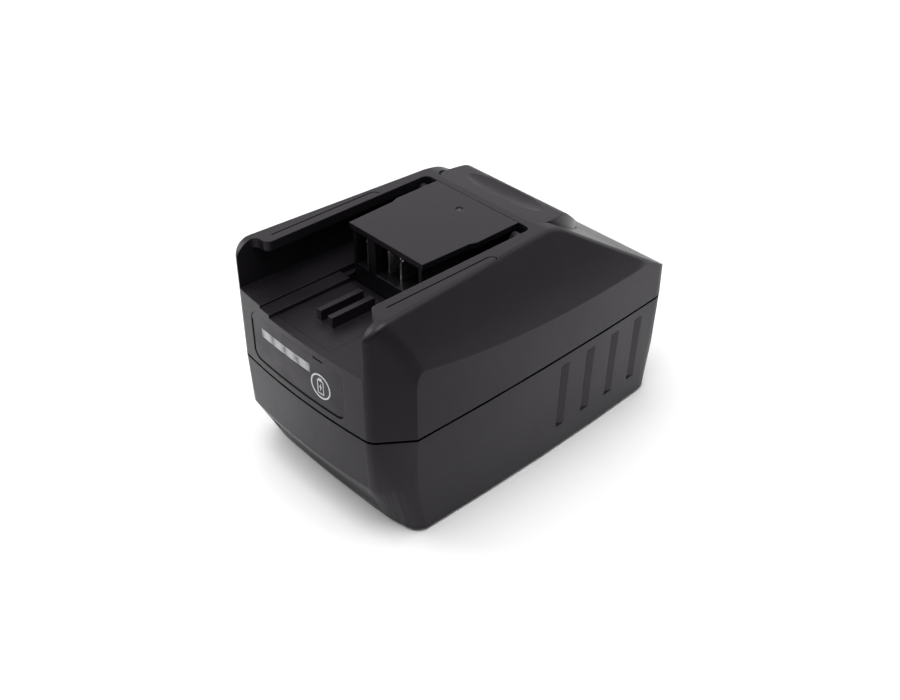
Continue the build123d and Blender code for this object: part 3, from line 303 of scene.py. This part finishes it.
# Springs: drawn music wire, oiled
wire = metal("spring_wire", "6f7073", "a3a4a8", 0.27, (1.0, 1.0, 0.3), 0.2)


def cell_sleeve():
    """Cells: heat-shrunk PVC sleeve, and bare nickel-plated steel at both ends."""
    mat, tree, bsdf, coords = shader("cell_sleeve")
    across = node(tree, "SeparateXYZ", None, Vector=coords)
    reach = maths(tree, "ABSOLUTE", across.outputs["X"])
    steel = maths(tree, "GREATER_THAN", reach, cell_end - 1.1 * MM)
    wrinkle = noise(tree, coords, 1.8, 3.0, 0.5)
    sleeve = ramp(tree, noise(tree, coords, 16.0, 2.0), (0.3, "2f6f7d"), (0.7, "3a8492"))
    bare = ramp(tree, wrinkle, (0.3, "9a9b9d"), (0.7, "c4c5c7"))
    tree.links.new(mix(tree, steel, sleeve, bare), bsdf.inputs["Base Color"])
    tree.links.new(steel, bsdf.inputs["Metallic"])
    tree.links.new(remap(tree, wrinkle, 0.3, 0.7, 0.26, 0.38), bsdf.inputs["Roughness"])
    bump(tree, bsdf, wrinkle, 0.03)
    return mat


def board_finish(name, mask_dark, mask_light):
    """Circuit board: glossy solder mask over etched copper tracks, which stand up a little."""
    mat, tree, bsdf, coords = shader(name)
    tracks = node(tree, "TexBrick", {"offset": 0.5, "squash": 1.0}, Vector=coords, Scale=1.0,
                  Mortar_Size=0.25 * MM, Mortar_Smooth=0.1, Brick_Width=6.2 * MM, Row_Height=2.1 * MM,
                  Color1=(0, 0, 0, 1), Color2=(0.25, 0.25, 0.25, 1), Mortar=(1, 1, 1, 1))
    flow = noise(tree, coords, 9.0, 2.0)
    base = ramp(tree, flow, (0.3, mask_dark), (0.7, mask_light))
    line = mix(tree, tracks.outputs["Color"], base, linear("3f7a57"))
    tree.links.new(line, bsdf.inputs["Base Color"])
    tree.links.new(remap(tree, flow, 0.3, 0.7, 0.26, 0.36), bsdf.inputs["Roughness"])
    bump(tree, bsdf, tracks.outputs["Color"], 0.03)
    return mat


def component_mix():
    """Board components: moulded black epoxy packages, and drawn aluminium cans where they stand tall."""
    mat, tree, bsdf, coords = shader("components")
    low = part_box("board_parts")[0]
    height = node(tree, "SeparateXYZ", None, Vector=coords).outputs["Z"]
    tall = maths(tree, "GREATER_THAN", height, low.z + 2.65 * MM)
    speck = noise(tree, coords, 0.3, 3.0, 0.6)
    epoxy = ramp(tree, speck, (0.3, "19191b"), (0.7, "232326"))
    tree.links.new(mix(tree, tall, epoxy, linear("b9babd")), bsdf.inputs["Base Color"])
    tree.links.new(tall, bsdf.inputs["Metallic"])
    tree.links.new(remap(tree, speck, 0.3, 0.7, 0.42, 0.56), bsdf.inputs["Roughness"])
    bump(tree, bsdf, speck, 0.01)
    return mat


def plain(name, dark, light, rough, size_mm, depth_mm, kind="noise"):
    """Foams, papers, films and small dipped or moulded parts: two tones and their own relief."""
    mat, tree, bsdf, coords = shader(name)
    if kind == "cells":
        bubbles = node(tree, "TexVoronoi", None, Scale=1 / (size_mm * MM), Vector=coords)
        field = bubbles.outputs["Distance"]
    elif kind == "fibres":
        along = node(tree, "Mapping", None, Vector=coords, Scale=(1.0, 0.15, 1.0)).outputs[0]
        field = noise(tree, along, size_mm, 4.0, 0.65)
    else:
        field = noise(tree, coords, size_mm, 3.0, 0.55)
    tree.links.new(ramp(tree, field, (0.25, dark), (0.75, light)), bsdf.inputs["Base Color"])
    tree.links.new(remap(tree, field, 0.2, 0.8, rough - 0.05, rough + 0.05), bsdf.inputs["Roughness"])
    bump(tree, bsdf, field, depth_mm)
    return mat


# Painted shade: black for the groove where the gauge film ends and for the tongue of the case joint,
# narrow gaps that no light reaches
painted_gap_shade = plain("painted_gap_shade", "020202", "050505", 0.9, 0.5, 0.01)
sheen(painted_gap_shade.node_tree.nodes["Principled BSDF"], 0.05)
# Gate mark: the case's nylon where it was cut from the tool, glossy as glass
gate_gloss = plain("gate_gloss", "1c1b1e", "2a282c", 0.14, 0.4, 0.01)
# Foam pad: closed-cell EVA, sliced
foam = plain("foam_pad", "1d1d1f", "2c2c2f", 0.85, 0.6, 0.08, "cells")
# Insulators: vulcanised barley paper
paper = plain("barley_paper", "7d8a6a", "93a07e", 0.7, 0.5, 0.02, "fibres")
# Ribbon: polyester flat cable over tinned copper
ribbon = plain("flat_ribbon", "c9c6bd", "dedbd3", 0.35, 1.0, 0.02, "fibres")
# Temperature bead: dipped epoxy
bead = plain("epoxy_bead", "1b1b1c", "3a2a1c", 0.3, 0.9, 0.02)
# Switch body: moulded nylon under a folded tinned frame, which gives it its grey
switch = plain("switch_body", "5f6164", "85878a", 0.38, 0.6, 0.01)
# Lamps: milky epoxy lens on a white base
lamp = plain("lamp_lens", "d5d3c4", "ece9da", 0.28, 0.4, 0.01)
ink = print_white()
sleeve = cell_sleeve()

finishes = {
    "upper_case": case_plastic, "lower_case": case_plastic, "terminal_block": block_plastic,
    "release_paddle": paddle_plastic, "gauge_button": button_plastic, "gauge_panel": film(),
    "led_window": light_bar(), "spring_seat": seat_plastic,
    "cell_holder_left": frame_plastic, "cell_holder_right": frame_plastic,
    "control_board": board_finish("board_mask", "12452c", "185537"),
    "gauge_board": board_finish("gauge_board_mask", "15181a", "1d2123"),
    "board_parts": component_mix(), "board_screws": zinc, "case_screws": zinc,
    "foam_pad": foam, "side_insulator_left": paper, "side_insulator_right": paper,
    "gauge_ribbon": ribbon, "thermistor": bead, "tact_switch": switch, "gauge_leds": lamp,
    "latch_spring_left": wire, "latch_spring_right": wire,
}
for name, piece in nodes.items():
    if name.startswith("cell_") and "holder" not in name:
        finishes[name] = sleeve
    elif name.startswith("strap_"):
        finishes[name] = nickel
    elif name.startswith("blade_"):
        finishes[name] = blade_metal
    piece.data.materials.clear()
    piece.data.materials.append(finishes[name])


# Shells with softened shading, and small fitted pieces

def regions(bm):
    """Groups faces that meet nearly flat: returns each face's group and the groups' widths."""
    group, widths = {}, []
    for first in bm.faces:
        if first in group:
            continue
        number = len(widths)
        group[first] = number
        area, rim, todo = 0.0, 0.0, [first]
        while todo:
            face = todo.pop()
            area += face.calc_area()
            for edge in face.edges:
                if len(edge.link_faces) == 2 and edge.calc_face_angle() < FLAT:
                    for other in edge.link_faces:
                        if other not in group:
                            group[other] = number
                            todo.append(other)
                else:
                    rim += edge.calc_length()
        widths.append(2 * area / max(rim, 1e-6))
    return group, widths


def soft_normals(bm):
    """Shading directions for each face corner: broad faces stay flat and narrow ones between them turn
    from one to the next, so bevels and facets look rounded. Edges that are hard get marked."""
    group, widths = regions(bm)
    for edge in bm.edges:
        sides = edge.link_faces
        if len(sides) != 2:
            edge.smooth = False
            continue
        angle = edge.calc_face_angle()
        thin = min(widths[group[face]] for face in sides) < NARROW
        edge.smooth = angle < FLAT or (thin and angle < HARD)
    found = {}
    for vert in bm.verts:
        left = set(vert.link_faces)
        while left:
            fan, todo = [], [left.pop()]
            while todo:
                face = todo.pop()
                fan.append(face)
                for edge in face.edges:
                    if edge.smooth and vert in edge.verts:
                        for other in edge.link_faces:
                            if other in left:
                                left.remove(other)
                                todo.append(other)
            broad = [face for face in fan if widths[group[face]] >= NARROW] or fan
            total = Vector()
            for face in broad:
                total += face.normal * face.calc_area()
            for face in fan:
                found[face, vert] = total.normalized()
    return [found[face, loop.vert] for face in bm.faces for loop in face.loops]


def shell(name, body, seam=None, shift=0.0, gap=(0.0, 0.0)):
    """Moulded shell in place of a CAD node: the same form with softly shaded bevels, and with the edge
    at height seam moved by shift, where two halves leave a shadow gap. Faces wholly between the two
    heights in gap, counted from the seam, lie inside it and are painted black as shade."""
    bm = bmesh.new()
    bm.from_mesh(nodes[name].data)
    bmesh.ops.remove_doubles(bm, verts=bm.verts[:], dist=1e-6)
    if seam is not None:
        for vert in bm.verts:
            if abs(vert.co.z - seam) < 0.002 * MM:
                vert.co.z += shift
    bm.normal_update()
    for face in bm.faces:
        face.smooth = True
        # Faces inside the gap get the second material, black painted shade
        if seam is not None and all(gap[0] < vert.co.z - seam < gap[1] for vert in face.verts):
            face.material_index = 1
    normals = soft_normals(bm)
    data = bpy.data.meshes.new(name + "_shell")
    bm.to_mesh(data)
    bm.free()
    data.normals_split_custom_set(normals)
    data.materials.append(finishes[name])
    data.materials.append(painted_gap_shade)
    piece = bpy.data.objects.new(name + "_shell", data)
    bpy.context.scene.collection.objects.link(piece)
    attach(piece, body)
    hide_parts(name)


def mesh_piece(name, bm, material, body, smooth=30.0):
    """Turns mesh data into an object that rides on a body, with edges below an angle smoothed."""
    data = bpy.data.meshes.new(name)
    bm.normal_update()
    bm.to_mesh(data)
    bm.free()
    data.materials.append(material)
    piece = bpy.data.objects.new(name, data)
    bpy.context.scene.collection.objects.link(piece)
    for face in data.polygons:
        face.use_smooth = True
    data.set_sharp_from_angle(angle=math.radians(smooth))
    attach(piece, body)
    return piece


def stand_up(bm, place):
    """Turns mesh data made flat on the ground upright, facing the front, with its middle at a place."""
    turn = Matrix.Rotation(math.pi / 2, 3, "X")
    bmesh.ops.rotate(bm, verts=bm.verts[:], cent=(0, 0, 0), matrix=turn)
    bmesh.ops.translate(bm, verts=bm.verts[:], vec=place)


def lay_on_front(bm, behind, thick):
    """Lays flat outlines in X and Z on the bulged front: their backs lie behind it, and they get a
    thickness."""
    extra = bmesh.ops.extrude_face_region(bm, geom=bm.faces[:])
    raised = {v for v in extra["geom"] if isinstance(v, bmesh.types.BMVert)}
    for v in bm.verts:
        v.co.y = FRONT + behind + nose_at(v.co.x) - (thick if v in raised else 0.0)
    bmesh.ops.recalc_face_normals(bm, faces=bm.faces[:])


def ring_sign():
    """White ring printed round the button."""
    bm = bmesh.new()
    for radius in (RING_OUTER, RING_INNER):
        bmesh.ops.create_circle(bm, segments=72, radius=radius)
    bmesh.ops.bridge_loops(bm, edges=bm.edges[:])
    stand_up(bm, (BUTTON_X, 0, BUTTON_Z))
    lay_on_front(bm, FACE_BEHIND, INK_DEPTH)
    mesh_piece("button_ring", bm, ink, "button")


def inked(bm, points):
    """Flat outline of printed ink: points are (x, z) in millimetres from the middle of the button."""
    verts = [bm.verts.new((BUTTON_X + x * MM, 0.0, BUTTON_Z + z * MM)) for x, z in points]
    return bm.faces.new(verts)


def cell_sign():
    """Printed battery outline with a bolt in it, the common sign for a charge gauge, in millimetres."""
    bm = bmesh.new()
    half, low, high, line, cap, cap_high = 1.4, -2.75, 2.15, 0.34, 0.75, 2.85
    for room in (0, line):
        loop = inked(bm, [(-half + room, low + room), (half - room, low + room),
                          (half - room, high - room), (-half + room, high - room)])
        bmesh.ops.delete(bm, geom=[loop], context="FACES_ONLY")
    bmesh.ops.bridge_loops(bm, edges=bm.edges[:])
    inked(bm, [(-cap, high + 0.05), (cap, high + 0.05), (cap, cap_high), (-cap, cap_high)])
    inked(bm, [(0.3, 1.35), (-0.6, -0.5), (-0.05, -0.35), (0.1, 0.1)])
    inked(bm, [(-0.3, -1.85), (0.6, 0.0), (0.1, 0.1), (-0.05, -0.35)])
    bmesh.ops.triangulate(bm, faces=bm.faces[:])
    lay_on_front(bm, FACE_BEHIND, INK_DEPTH)
    mesh_piece("button_sign", bm, ink, "button")


def light_window():
    """Milky bar in one piece in front of the lamps, square at both ends."""
    low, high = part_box("led_window")
    bm = bmesh.new()
    bmesh.ops.create_grid(bm, x_segments=16, y_segments=1, size=0.5)
    bmesh.ops.scale(bm, verts=bm.verts[:], vec=(high.x - low.x, high.z - low.z, 1))
    stand_up(bm, ((low.x + high.x) / 2, 0, (low.z + high.z) / 2))
    lay_on_front(bm, WINDOW_DEPTH, WINDOW_DEPTH - FACE_BEHIND)
    piece = mesh_piece("light_window", bm, finishes["led_window"], "pack", 50.0)
    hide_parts("led_window")


def film_edge_shade():
    """Painted shade: black strip where the gauge film ends in its recess, along its left side and its
    foot.
    """
    low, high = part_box("gauge_panel")
    corner = FILM_CORNER
    bm = bmesh.new()
    ends = [bm.verts.new((low.x + at, 0, high.z - corner)) for at in (0, FILM_LINE)]
    last = [bm.edges.new(ends)]

    def straight(vec, steps):
        nonlocal last
        for _ in range(steps):
            new = bmesh.ops.extrude_edge_only(bm, edges=last)["geom"]
            last = [e for e in new if isinstance(e, bmesh.types.BMEdge)
                    and all(v in new for v in e.verts)][:1]
            bmesh.ops.translate(bm, verts=list(last[0].verts), vec=Vector(vec) / steps)

    def bend(centre, angle, steps):
        nonlocal last
        new = bmesh.ops.spin(bm, geom=last, cent=centre, axis=(0, 1, 0), angle=angle, steps=steps)
        last = [e for e in new["geom_last"] if isinstance(e, bmesh.types.BMEdge)]

    straight((0, 0, -(high.z - low.z - 2 * corner)), 2)
    bend((low.x + corner, 0, low.z + corner), -math.pi / 2, 6)
    straight((high.x - low.x - 2 * corner, 0, 0), 14)
    bend((high.x - corner, 0, low.z + corner), -math.pi / 4, 3)
    lay_on_front(bm, FILM_BEHIND, FILM_THICK)
    mesh_piece("film_edge_shade", bm, painted_gap_shade, "pack")


def blade(name, notched, ahead=0.0):
    """Tinned contact blade: stamped strip with a rounded leading corner, coined edges and a notch, which
    reaches a little further ahead than the plain strip of the CAD where ahead says so."""
    low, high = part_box(name)
    low.y -= ahead
    corner = BLADE_CORNER
    bm = bmesh.new()
    outline = [bm.verts.new((low.x, high.y, at)) for at in (low.z, high.z)]
    for k in range(9):
        turn = math.radians(11.25 * k)
        outline.append(bm.verts.new((low.x, low.y + corner - corner * math.sin(turn),
                                     high.z - corner + corner * math.cos(turn))))
    if notched:
        for inward, down in ((0, 0.2), (0.9, 0.3), (0.9, 0.85), (0, 0.95)):
            outline.append(bm.verts.new((low.x, low.y + inward * MM, high.z - corner - down * MM)))
    outline.append(bm.verts.new((low.x, low.y, low.z)))
    flat = bm.faces.new(outline)
    new = bmesh.ops.extrude_face_region(bm, geom=[flat])["geom"]
    bmesh.ops.translate(bm, verts=[v for v in new if isinstance(v, bmesh.types.BMVert)],
                        vec=(high.x - low.x, 0, 0))
    bmesh.ops.recalc_face_normals(bm, faces=bm.faces[:])
    rims = [e for e in bm.edges if abs(e.verts[0].co.x - e.verts[1].co.x) < 1e-7]
    bmesh.ops.bevel(bm, geom=rims, offset=BLADE_COINING, offset_type="OFFSET", segments=3, profile=0.5,
                    affect="EDGES", material=-1)
    piece = mesh_piece(name + "_strip", bm, blade_metal, "pack", 40.0)
    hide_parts(name)


def gate_nib():
    """Cut-off sprue in the middle of the dimple on the terminal block."""
    centre = Vector((0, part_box("terminal_block")[1].y - DIMPLE_ROOM, TOP))
    bm = bmesh.new()
    profile = ((1.1, -0.29), (0.75, -0.27), (0.55, -0.2), (0.46, -0.1), (0.3, -0.03), (0, -0.01))
    path = [bm.verts.new(centre + Vector((r * MM, 0, z * MM))) for r, z in profile]
    edges = [bm.edges.new(pair) for pair in zip(path, path[1:])]
    bmesh.ops.spin(bm, geom=path + edges, cent=centre, axis=(0, 0, 1), angle=2 * math.pi, steps=24,
                   use_merge=True)
    bmesh.ops.remove_doubles(bm, verts=bm.verts[:], dist=1e-7)
    bmesh.ops.recalc_face_normals(bm, faces=bm.faces[:])
    mesh_piece("gate_nib", bm, gate_gloss, "pack", 60.0)


def coil_spring(name):
    """Wound return spring in place of the plain sleeve of the CAD, closed flat at both ends."""
    low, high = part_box(name)
    middle = (low + high) / 2
    thick = SPRING_WIRE
    radius = (high.x - low.x) / 2 - thick / 2
    rise = high.z - low.z - thick
    bm = bmesh.new()
    bmesh.ops.create_circle(bm, segments=10, radius=thick / 2)
    stand_up(bm, (middle.x + radius, middle.y, low.z + thick / 2))
    first = last = bm.edges[:]
    for turns, lift in ((0.8, 0.0), (5.4, rise), (0.8, 0.0)):
        steps = round(turns * 25)
        new = bmesh.ops.spin(bm, geom=last, cent=(middle.x, middle.y, 0), axis=(0, 0, 1),
                             dvec=(0, 0, lift / steps), angle=2 * math.pi * turns, steps=steps)
        last = [e for e in new["geom_last"] if isinstance(e, bmesh.types.BMEdge)]
    for rim in (first, last):
        bmesh.ops.holes_fill(bm, edges=rim, sides=0)
    bmesh.ops.recalc_face_normals(bm, faces=bm.faces[:])
    piece = mesh_piece(name + "_coil", bm, wire, "pack")
    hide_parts(name)
    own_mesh(piece)


# The halves of the case meet where their outermost side walls end. Faces inside the gap are painted black
# as shade
seam_top = min(v.co.z for v in nodes["upper_case"].data.vertices
               if abs(v.co.x) > case_high.x - WALL_ROOM)
seam_low = max(v.co.z for v in nodes["lower_case"].data.vertices
               if abs(v.co.x) > base_high.x - WALL_ROOM)
shell("upper_case", "pack", seam_top, UPPER_BACK, (-2.7 * MM, 0.2 * MM))
shell("lower_case", "pack", seam_low, -LOWER_BACK, (-0.25 * MM, 2.7 * MM))
shell("release_paddle", "paddle")
ring_sign()
cell_sign()
light_window()
film_edge_shade()
gate_nib()
blade("blade_positive", True, 0.9 * MM)
blade("blade_signal", False)
blade("blade_negative", True)
coil_spring("latch_spring_left")
coil_spring("latch_spring_right")


# Floor, light and camera

def floor():
    """Pale matt paper sweep that the pack stands on: white to the camera, and to all other rays greyer
    before the camera, painted shade that stands in for the camera's own shade and that the dark case
    reflects."""
    bpy.ops.mesh.primitive_plane_add(size=6.0, location=(0, 0, base_low.z))
    plane = bpy.context.object
    plane.name = "floor"
    mat, tree, bsdf, coords = shader("floor_paper")
    tone = noise(tree, coords, 60.0, 2.0)
    white = ramp(tree, tone, (0.0, "fafafa"), (1.0, "ffffff"))
    seen = node(tree, "LightPath").outputs["Is Camera Ray"]
    # Painted shade: to all but camera rays the floor turns grey on the side before the camera
    toward = node(tree, "VectorMath", {"operation": "DOT_PRODUCT"}, i0=coords, i1=(0.707, -0.707, 0.0))
    shade = remap(tree, toward.outputs["Value"], 0.02, 0.13, 0.0, 1.0)
    dim = mix(tree, shade, linear("f8f8f8"), linear("a0a0a0"))
    tree.links.new(mix(tree, seen, dim, white), bsdf.inputs["Base Color"])
    bsdf.inputs["Roughness"].default_value = 0.9
    sheen(bsdf, 0.0)
    plane.data.materials.append(mat)


def world():
    """White to the camera. To all other rays, a bright sweep behind the pack and a dim room before it."""
    scene_world = bpy.data.worlds.new("studio")
    bpy.context.scene.world = scene_world
    scene_world.use_nodes = True
    tree = scene_world.node_tree
    tree.nodes.clear()
    out = tree.nodes.new("ShaderNodeOutputWorld")
    seen = node(tree, "Background", None, Color=(1, 1, 1, 1), Strength=1.0)
    direction = node(tree, "TexCoord").outputs["Generated"]
    bright_side = tuple(Vector((-0.62, 0.60, 0.50)).normalized())
    toward = node(tree, "VectorMath", {"operation": "DOT_PRODUCT"}, i0=direction, i1=bright_side)
    level = remap(tree, toward.outputs["Value"], -0.5, 0.8, 0.03, 0.85)
    cast = node(tree, "Background", None, Color=(1, 1, 1, 1), Strength=level)
    camera_ray = node(tree, "LightPath").outputs["Is Camera Ray"]
    blend = node(tree, "MixShader", None, i0=camera_ray, i1=cast.outputs[0], i2=seen.outputs[0])
    tree.links.new(blend.outputs[0], out.inputs["Surface"])


def softbox(name, place, aim, size, power):
    """Rectangular soft light of a power in watts at a place in metres, turned towards a point."""
    light = bpy.data.lights.new(name, "AREA")
    light.shape = "RECTANGLE"
    light.size, light.size_y = size
    light.energy = power
    box = bpy.data.objects.new(name, light)
    box.location = place
    box.rotation_euler = (Vector(aim) - Vector(place)).to_track_quat("-Z", "Y").to_euler()
    bpy.context.scene.collection.objects.link(box)


floor()
world()
softbox("top", (0.1, -0.1, 1.1), (0, 0, 0.05), (0.9, 0.9), 9.5)
softbox("front", (0.25, -0.75, 0.55), (0, -0.025, 0.072), (0.25, 0.25), 0.45)
softbox("left", (-0.9, -0.5, 0.6), (0, 0, 0.04), (0.6, 0.5), 5.5)

# Camera at the photograph's own angle, fitted to the rails, the seam and the front face
AZIMUTH = math.radians(47.3)
ELEVATION = math.radians(35.9)
camera_data = bpy.data.cameras.new("camera")
camera_data.sensor_fit = "HORIZONTAL"
camera_data.sensor_width = 36.0
camera_data.lens = 48.64
camera_data.clip_start = 0.01
camera = bpy.data.objects.new("camera", camera_data)
camera.location = Vector((239.01 * MM, -222.84 * MM, TOP + 183.84 * MM))
level_part = math.cos(ELEVATION)
back = Vector((math.sin(AZIMUTH) * level_part, -math.cos(AZIMUTH) * level_part, math.sin(ELEVATION)))
camera.rotation_euler = back.to_track_quat("Z", "Y").to_euler()
bpy.context.scene.collection.objects.link(camera)
bpy.context.scene.camera = camera
bpy.context.scene.view_settings.view_transform = "Standard"
